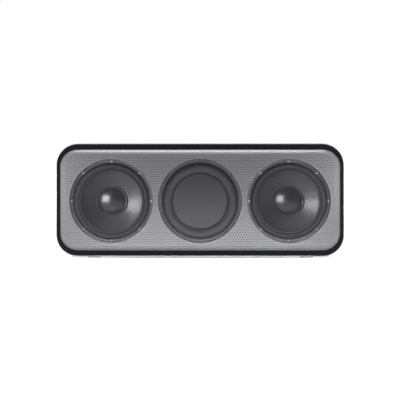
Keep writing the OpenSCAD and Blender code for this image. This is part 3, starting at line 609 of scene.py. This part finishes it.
disc_r, disc_rim_r, disc_stand = 26.8, 28.2, 0.9
disc_back_r, disc_rim_t, disc_t = 24.0, 1.0, 3.3
disc_edge_r, disc_edge_cut, disc_draft, disc_back_slope = 0.6, 0.2, 0.1, 2
dress(grey_paint, "radiator_frame")
dress(motor_steel, "radiator_weight")
surround("radiator", wide_roll, axis_of("radiator_frame"), paler_lit_rubber)
disc_face = flange_y - disc_stand
disc_section = [(0, disc_face), (disc_r - disc_edge_r, disc_face),
    (disc_r - disc_edge_cut, disc_face + disc_edge_cut), (disc_r, disc_face + disc_edge_r),
    (disc_r + disc_draft, flange_y), (disc_rim_r, flange_y),
    (disc_rim_r, flange_y + disc_rim_t), (disc_back_r + disc_back_slope, flange_y + disc_rim_t),
    (disc_back_r, disc_face + disc_t), (0, disc_face + disc_t)]
disc = turned("radiator_flat_disc", disc_section, axis_of("radiator_frame"), disc_black,
    "moving_radiator")
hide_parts("radiator_disc")


# Electronics: a green board on four posts with the amplifier's heat sink, a screened radio module,
# lead sockets and four capacitors, and a smaller board with five key switches under the buttons.
# Green solder mask over copper on glass laminate: glossy, with slightly paler green over the tracks.
track_pitch = 4.0
solder_mask, tree, shader, spot = finish_of("green_solder_mask", "1F5A36", 0.35)
tracks = add(tree, "ShaderNodeTexBrick", {"Vector": spot, "Scale": 1 / (track_pitch * MM),
    "Color1": linear("1F5A36"), "Color2": linear("26683F"), "Mortar": linear("2F7A4B"),
    "Mortar Size": 0.04})
relief = add(tree, "ShaderNodeBump", {"Height": tracks.outputs["Fac"], "Distance": 0.04 * MM,
    "Strength": 0.5})
fill(tree, shader, {"Base Color": tracks.outputs["Color"], "Normal": relief.outputs[0]})
dress(solder_mask, "main_board", "button_board")

# Aluminium, extruded and left plain: pale grey with fine die lines along its length.
die_line = 0.5
along_extrusion = (0.05, 1, 1)
extrusion, tree, shader, spot = finish_of("extruded_aluminium", "B4B6B8", 0.38, 1.0)
along = add(tree, "ShaderNodeVectorMath", {0: spot, 1: along_extrusion},
    operation="MULTIPLY")
lines = add(tree, "ShaderNodeTexNoise", {"Vector": along.outputs[0], "Scale": 1 / (die_line * MM)})
shine = add(tree, "ShaderNodeMapRange", {"Value": lines.outputs["Fac"], "To Min": 0.3,
    "To Max": 0.48})
fill(tree, shader, {"Roughness": shine.outputs[0]})
dress(extrusion, "heat_sink")

# Hot tinned steel, stamped: bright and a little cloudy from the tin's crystals.
tin_crystal = 1.2
tinned, tree, shader, spot = finish_of("tinned_steel", "C4C5C4", 0.3, 1.0)
crystals = add(tree, "ShaderNodeTexVoronoi", {"Vector": spot, "Scale": 1 / (tin_crystal * MM)})
shine = add(tree, "ShaderNodeMapRange", {"Value": crystals.outputs["Distance"], "To Min": 0.22,
    "To Max": 0.42})
fill(tree, shader, {"Roughness": shine.outputs[0]})
dress(tinned, "radio_module")

# PVC sleeve shrunk on the aluminium cans: dark blue grey with the paler band of the negative side.
sleeve_band = 12
sleeve, tree, shader, spot = finish_of("capacitor_sleeve", "20242E", 0.3)
band = add(tree, "ShaderNodeTexWave", {"Vector": spot, "Scale": 1 / (sleeve_band * MM * math.tau)},
    bands_direction="X")
tint = add(tree, "ShaderNodeMix", {0: band.outputs["Fac"], 6: linear("1B1F29"),
    7: linear("323848")}, data_type="RGBA")
fill(tree, shader, {"Base Color": tint.outputs[2]})
dress(sleeve, "capacitors")

# Natural nylon, moulded: creamy white and half clear looking, with faint flow clouds.
flow_cloud = 2.0
nylon, tree, shader, spot = finish_of("natural_nylon", "E4DFCC", 0.45)
flow = add(tree, "ShaderNodeTexNoise", {"Vector": spot, "Scale": 1 / (flow_cloud * MM)})
tint = add(tree, "ShaderNodeMix", {0: flow.outputs["Fac"], 6: linear("DED9C5"),
    7: linear("EAE6D5")}, data_type="RGBA")
fill(tree, shader, {"Base Color": tint.outputs[2]})
dress(nylon, "lead_sockets")

# Steel covers stamped over the key switches: plain grey metal with a brushed look.
rolling_mark = 0.6
stamped, tree, shader, spot = finish_of("stamped_steel", "A8A9AB", 0.35, 1.0)
marks = add(tree, "ShaderNodeTexNoise", {"Vector": spot, "Scale": 1 / (rolling_mark * MM)})
shine = add(tree, "ShaderNodeMapRange", {"Value": marks.outputs["Fac"], "To Min": 0.28,
    "To Max": 0.45})
fill(tree, shader, {"Roughness": shine.outputs[0]})
dress(stamped, "key_switches")

# Grey PVC on the button board's wires: light grey, satin.
grey_patch = 1.5
grey_pvc, tree, shader, spot = finish_of("grey_pvc_insulation", "9A9A9C", 0.45)
skin = add(tree, "ShaderNodeTexNoise", {"Vector": spot, "Scale": 1 / (grey_patch * MM)})
tint = add(tree, "ShaderNodeMix", {0: skin.outputs["Fac"], 6: linear("949496"),
    7: linear("A2A2A4")}, data_type="RGBA")
fill(tree, shader, {"Base Color": tint.outputs[2]})
dress(grey_pvc, "button_leads")


# Battery: two lithium cells in one blue shrink wrap, held to the back wall by a painted steel bracket.
# PVC shrink wrap: glossy blue film with soft creases where it tightened.
crease_gap = 6.0
wrap, tree, shader, spot = finish_of("blue_shrink_wrap", "274B9A", 0.28)
creases = add(tree, "ShaderNodeTexNoise", {"Vector": spot, "Scale": 1 / (crease_gap * MM)})
shine = add(tree, "ShaderNodeMapRange", {"Value": creases.outputs["Fac"], "To Min": 0.2,
    "To Max": 0.38})
relief = add(tree, "ShaderNodeBump", {"Height": creases.outputs["Fac"], "Distance": 0.1 * MM,
    "Strength": 0.3})
fill(tree, shader, {"Roughness": shine.outputs[0], "Normal": relief.outputs[0]})
dress(wrap, "battery_pack")
dress(grey_paint, "battery_bracket")
dress(lead_pvc, "battery_leads")


# Sockets: the power inlet and the audio jack stand on the board's back edge and look out through a
# black panel at the bottom of the bay.
# Black PBT, moulded: harder and shinier than the ABS round it.
pbt_grain = 0.8
socket_black, tree, shader, spot = finish_of("black_pbt", "18181A", 0.4)
spark = add(tree, "ShaderNodeTexNoise", {"Vector": spot, "Scale": 1 / (pbt_grain * MM)})
shine = add(tree, "ShaderNodeMapRange", {"Value": spark.outputs["Fac"], "To Min": 0.34,
    "To Max": 0.5})
fill(tree, shader, {"Roughness": shine.outputs[0]})
dress(socket_black, "dc_socket", "audio_socket")
dress(black_abs, "port_panel")


# Controls: a dark grey ABS panel let into the top of the casing, with five silicone buttons. Each
# carries its sign as a thin pale print: power, minus, play and pause, plus, and input.
# Dark grey ABS with a fine grain: dull enough not to mirror the room.
panel_grain = 0.8
panel_finish, tree, shader, spot = finish_of("dark_grey_moulded_abs", "3A3A3D", 0.5)
spark = add(tree, "ShaderNodeTexNoise", {"Vector": spot, "Scale": 1 / (panel_grain * MM),
    "Detail": 3.0})
tint = add(tree, "ShaderNodeMix", {0: spark.outputs["Fac"], 6: linear("363639"),
    7: linear("404043")}, data_type="RGBA")
relief = add(tree, "ShaderNodeBump", {"Height": spark.outputs["Fac"], "Distance": 0.03 * MM,
    "Strength": 0.4})
fill(tree, shader, {"Base Color": tint.outputs[2], "Normal": relief.outputs[0]})
dress(panel_finish, "control_panel")

# Silicone rubber with a soft touch lacquer: velvety dark grey that pales a little at grazing angles.
lacquer_grain = 0.9
silicone, tree, shader, spot = finish_of("soft_touch_silicone", "47474A", 0.6)
skin = add(tree, "ShaderNodeTexNoise", {"Vector": spot, "Scale": 1 / (lacquer_grain * MM)})
shine = add(tree, "ShaderNodeMapRange", {"Value": skin.outputs["Fac"], "To Min": 0.54,
    "To Max": 0.68})
fill(tree, shader, {"Roughness": shine.outputs[0], "Sheen Weight": 0.15})

# Pad printed silicone ink: flat pale grey, slightly broken by the rubber's grain.
ink_grain = 0.3
print_ink, tree, shader, spot = finish_of("pale_pad_print", "C9C9C6", 0.65)
breaks = add(tree, "ShaderNodeTexNoise", {"Vector": spot, "Scale": 1 / (ink_grain * MM)})
tint = add(tree, "ShaderNodeMix", {0: breaks.outputs["Fac"], 6: linear("BDBDBA"),
    7: linear("D3D3D0")}, data_type="RGBA")
fill(tree, shader, {"Base Color": tint.outputs[2]})

sign_stroke = 0.55
sign_reach = 2.3
arm_reach = sign_reach - 0.3
arm_length = arm_reach - sign_stroke / 2
arm_middle = (arm_reach + sign_stroke / 2) / 2
ring_start, ring_end, ring_steps = 125, 415, 40
power_bar_y, power_bar_h = sign_reach - 0.7, sign_reach * 0.9
play_tip, play_half = -0.1, 1.6
pause_x = (0.85, 2.0)
door_x, door_out, door_in = 0.1, 2.2, 1.65
shaft_x, shaft_w = -1.35, 1.9
arrow_back, arrow_tip, arrow_half = -0.5, 0.75, 1.0
print_t = 0.08
print_sink = 0.05


def bar(x, y, width, height):
    """Flat rectangle round a middle, in mm."""
    return [(x - width / 2, y - height / 2), (x + width / 2, y - height / 2),
        (x + width / 2, y + height / 2), (x - width / 2, y + height / 2)]


power_ring = arc((0, 0), sign_reach, ring_start, ring_end, ring_steps)
power_ring += arc((0, 0), sign_reach - sign_stroke, ring_end, ring_start, ring_steps)
signs = {
    "power": [power_ring, bar(0, power_bar_y, sign_stroke, power_bar_h)],
    "minus": [bar(0, 0, 2 * arm_reach, sign_stroke)],
    "play": [[(-sign_reach, -play_half), (play_tip, 0), (-sign_reach, play_half)]]
        + [bar(x, 0, sign_stroke, 2 * play_half) for x in pause_x],
    "plus": [bar(0, 0, 2 * arm_reach, sign_stroke), bar(0, arm_middle, sign_stroke, arm_length),
        bar(0, -arm_middle, sign_stroke, arm_length)],
    "source": [[(door_x, door_out), (door_out, door_out), (door_out, -door_out),
        (door_x, -door_out), (door_x, -door_in), (door_in, -door_in), (door_in, door_in),
        (door_x, door_in)], bar(shaft_x, 0, shaft_w, sign_stroke),
        [(arrow_back, -arrow_half), (arrow_tip, 0), (arrow_back, arrow_half)]]}
for name, shapes in signs.items():
    button = name + "_button"
    dress(silicone, button)
    low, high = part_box(button)
    middle = ((low[0] + high[0]) / 2, (low[1] + high[1]) / 2)
    points, faces = [], []
    for shape in shapes:
        base, count = len(points), len(shape)
        for height in (high[2] - print_sink * MM, high[2] + print_t * MM):
            points += [(middle[0] + x * MM, middle[1] + y * MM, height) for x, y in shape]
        faces.append([base + i for i in reversed(range(count))])
        faces.append([base + count + i for i in range(count)])
        for i in range(count):
            j = (i + 1) % count
            faces.append((base + i, base + j, base + count + j, base + count + i))
    sign = place_mesh(name + "_sign", points, faces, print_ink, name + "_key")


# Bezel: a black satin ABS frame that grips the rim of the grille and hides the baffle's screws.
# Black ABS with a light texture: deep black with a soft grey bloom only where it faces a light.
bezel_grain = 0.8
bezel_abs, tree, shader, spot = finish_of("black_satin_abs", "0B0B0C", 0.6, ior=1.4)
spark = add(tree, "ShaderNodeTexNoise", {"Vector": spot, "Scale": 1 / (bezel_grain * MM),
    "Detail": 3.0})
shine = add(tree, "ShaderNodeMapRange", {"Value": spark.outputs["Fac"], "To Min": 0.55,
    "To Max": 0.7})
relief = add(tree, "ShaderNodeBump", {"Height": spark.outputs["Fac"], "Distance": 0.02 * MM,
    "Strength": 0.3})
fill(tree, shader, {"Roughness": shine.outputs[0], "Normal": relief.outputs[0],
    "Specular IOR Level": 0.3})
dress(bezel_abs, "front_bezel")


# Guards: three discs of fine black steel mesh, stuck behind the windows of the grille to keep
# fingers off the cones.
guard_pitch = 2.6
guard_web = 0.24
mesh_hole_r = (guard_pitch - guard_web) / math.sqrt(3)
guard_t = 0.3
window_r = 41.0
guard_lap = 0.6
guard_steps, window_steps = 96, 160
same_point = 1e-6
guards = ("left_guard", "center_guard", "right_guard")
grille_low, grille_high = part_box("front_grille")
grille_y = grille_low[1] / MM


def circle(center, radius, count, start=0.0):
    """Points evenly round a circle, from a start angle in radians."""
    return [(center[0] + radius * math.cos(start + math.tau * i / count),
        center[1] + radius * math.sin(start + math.tau * i / count)) for i in range(count)]


def lattice(width, height, pitch):
    """Centres of a staggered pattern of holes in horizontal rows, out from the middle."""
    row = pitch * math.sqrt(3) / 2
    rows, columns = int(height / 2 / row) + 1, int(width / 2 / pitch) + 1
    return [((j + 0.5 * (i % 2)) * pitch, i * row)
        for i in range(-rows, rows + 1) for j in range(-columns - 1, columns + 1)]


def pierced(name, loops, keep, place, material):
    """A sheet from flat loops: keep says which loops a piece of sheet must be in, and place puts a
    flat point and a side, 0 front or 1 back, into the body."""
    flat, faces = [], []
    for loop in loops:
        faces.append(list(range(len(flat), len(flat) + len(loop))))
        flat += [Vector(p) for p in loop]
    verts, _, triangles, _, _, sources = delaunay_2d_cdt(flat, [], faces, 1, same_point)
    sheet = [t for t, s in zip(triangles, sources) if keep(set(s))]
    count = len(verts)
    points = [place(v[0], v[1], back) for back in (0, 1) for v in verts]
    solid = list(sheet) + [[i + count for i in reversed(t)] for t in sheet]
    edges = {edge for a, b, c in sheet for edge in ((a, b), (b, c), (c, a))}
    solid += [(b, a, a + count, b + count) for a, b in sorted(edges) if (b, a) not in edges]
    used = sorted({i for face in solid for i in face})
    number = {old: new for new, old in enumerate(used)}
    return place_mesh(name, [points[i] for i in used],
        [[number[i] for i in face] for face in solid], material, "root")


# Steel mesh with a black electrophoretic coat: charcoal, half matt, with a slightly uneven sheen. The
# real strands are much finer than a pixel of the photograph, so the mesh is drawn coarser.
coat_patch = 0.6
mesh_black, tree, shader, spot = finish_of("black_coated_steel_mesh", "2A2A2D", 0.5)
coat = add(tree, "ShaderNodeTexNoise", {"Vector": spot, "Scale": 1 / (coat_patch * MM)})
shine = add(tree, "ShaderNodeMapRange", {"Value": coat.outputs["Fac"], "To Min": 0.42,
    "To Max": 0.58})
fill(tree, shader, {"Roughness": shine.outputs[0]})
for name in guards:
    low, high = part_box(name)
    center = axis_of(name)
    outer_r = (high[0] - low[0]) / 2 / MM
    inner_r = window_r + guard_lap
    loops = [circle((0, 0), outer_r, guard_steps), circle((0, 0), inner_r, guard_steps)]
    for x, z in lattice(2 * inner_r, 2 * inner_r, guard_pitch):
        if math.hypot(x, z) < inner_r + guard_pitch:
            loops.append(circle((x, z), mesh_hole_r, 6, math.pi / 6))
    guard = pierced(name + "_mesh", loops,
        lambda inside: 0 in inside and not (1 in inside and len(inside) > 2),
        lambda u, v, back, c=center, y=low[1]: (c[0] + u * MM, y + back * guard_t * MM,
            c[1] + v * MM), mesh_black)
    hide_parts(name)


# Grille: a sheet of 1 mm steel, punched all over in staggered rows, with three round windows. It is
# pressed into a shallow pan, powder coated, and held by the bezel round its rim.
sheet_t = 1.0
bend_r = 7.0
bend_angle = math.radians(75)
corner_r = 17.4
corner_steps = 24
hole_pitch = 2.62
hole_r = 0.55
hole_sides = 8
plain_rim = 1.0
plain_window_edge = 0.45
grille_w = (grille_high[0] - grille_low[0]) / MM
grille_h = (grille_high[2] - grille_low[2]) / MM
grille_z = (grille_high[2] + grille_low[2]) / 2 / MM
bend_reach = bend_r * math.sin(bend_angle)
flat_w, flat_h = grille_w / 2 - bend_reach, grille_h / 2 - bend_reach
flat_r = corner_r - bend_r
blank = bend_r * bend_angle
windows = []
for name in guards:
    x, z = axis_of(name)
    windows.append((x / MM, z / MM - grille_z))


def beyond_flat(u, v):
    """How far a place on the flat blank lies past the pan's flat face, and in which direction."""
    over_u, over_v = abs(u) - (flat_w - flat_r), abs(v) - (flat_h - flat_r)
    if over_u > 0 and over_v > 0:
        reach = math.hypot(over_u, over_v)
        return reach - flat_r, over_u / reach, over_v / reach
    if over_u > over_v:
        return over_u - flat_r, 1.0, 0.0
    return over_v - flat_r, 0.0, 1.0


def pressed(u, v, back):
    """Where a place on the blank comes to lie once the pan's edge is bent."""
    past, out_u, out_v = beyond_flat(u, v)
    if past <= 0:
        return u * MM, (grille_y + back * sheet_t) * MM, (v + grille_z) * MM
    angle = past / bend_r
    shift = (bend_r - back * sheet_t) * math.sin(angle) - past
    depth = grille_y + bend_r - (bend_r - back * sheet_t) * math.cos(angle)
    return ((u + math.copysign(1, u) * shift * out_u) * MM, depth * MM,
        (v + math.copysign(1, v) * shift * out_v + grille_z) * MM)


def rounded(half_w, half_h, radius, gap):
    """Outline of a rectangle with round corners, with a point about every gap."""
    outline, full = [], []
    for sign_x, sign_y, start in ((1, 1, 0), (-1, 1, 90), (-1, -1, 180), (1, -1, 270)):
        center = (sign_x * (half_w - radius), sign_y * (half_h - radius))
        outline += arc(center, radius, start, start + 90, corner_steps)
    for a, b in zip(outline, outline[1:] + outline[:1]):
        parts = max(1, int(math.dist(a, b) / gap))
        full += [(a[0] + (b[0] - a[0]) * i / parts, a[1] + (b[1] - a[1]) * i / parts)
            for i in range(parts)]
    return full


loops = [rounded(flat_w + blank, flat_h + blank, flat_r + blank, hole_pitch)]
loops += [circle(window, window_r, window_steps) for window in windows]
for x, z in lattice(2 * (flat_w + blank), 2 * (flat_h + blank), hole_pitch):
    clear_rim = beyond_flat(x, z)[0] < blank - hole_r - plain_rim
    clear_window = min(math.dist((x, z), window) for window in windows)
    if clear_rim and clear_window > window_r + hole_r + plain_window_edge:
        loops.append(circle((x, z), hole_r, hole_sides, math.pi / hole_sides))

# Silver grey powder coat, baked on: satin, with aluminium flake that gives it a slight metal sheen.
flake = 0.5
powder, tree, shader, spot = finish_of("silver_grey_powder_coat", "808083", 0.45, 0.3)
speckle = add(tree, "ShaderNodeTexNoise", {"Vector": spot, "Scale": 1 / (flake * MM),
    "Detail": 3.0})
tint = add(tree, "ShaderNodeMix", {0: speckle.outputs["Fac"], 6: linear("7A7A7D"),
    7: linear("868689")}, data_type="RGBA")
shine = add(tree, "ShaderNodeMapRange", {"Value": speckle.outputs["Fac"], "To Min": 0.36,
    "To Max": 0.5})
relief = add(tree, "ShaderNodeBump", {"Height": speckle.outputs["Fac"], "Distance": 0.02 * MM,
    "Strength": 0.3})
fill(tree, shader, {"Base Color": tint.outputs[2], "Roughness": shine.outputs[0],
    "Normal": relief.outputs[0]})
grille = pierced("perforated_grille", loops, lambda inside: inside == {0}, pressed, powder)
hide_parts("front_grille")


# Feet: four moulded rubber discs pressed into pockets under the casing.
# Natural rubber compound, moulded: near black, dull, with a fine dusty grain.
rubber_grain = 1.0
rubber, tree, shader, spot = finish_of("black_moulded_rubber", "232325", 0.7, ior=1.52)
dust = add(tree, "ShaderNodeTexNoise", {"Vector": spot, "Scale": 1 / (rubber_grain * MM)})
tint = add(tree, "ShaderNodeMix", {0: dust.outputs["Fac"], 6: linear("202022"),
    7: linear("28282A")}, data_type="RGBA")
shine = add(tree, "ShaderNodeMapRange", {"Value": dust.outputs["Fac"], "To Min": 0.62,
    "To Max": 0.78})
fill(tree, shader, {"Base Color": tint.outputs[2], "Roughness": shine.outputs[0]})
dress(rubber, "feet")


# Flags keep each of four lamps to what it is for: the cones, their caps, and the grille alone for the
# strip above it and for the lower one of the two under it.
for lamp, ends in (("cone_softbox", ("_paper_cone", "_glue_bead")),
        ("cap_spot", ("_gloss_dust_cap",)), ("top_strip", ("_grille",)),
        ("grille_wash", ("_grille",))):
    group = bpy.data.collections.new(lamp + "_reach")
    for piece in bpy.context.scene.objects:
        if piece.name.endswith(ends):
            group.objects.link(piece)
    lamps[lamp].light_linking.receiver_collection = group
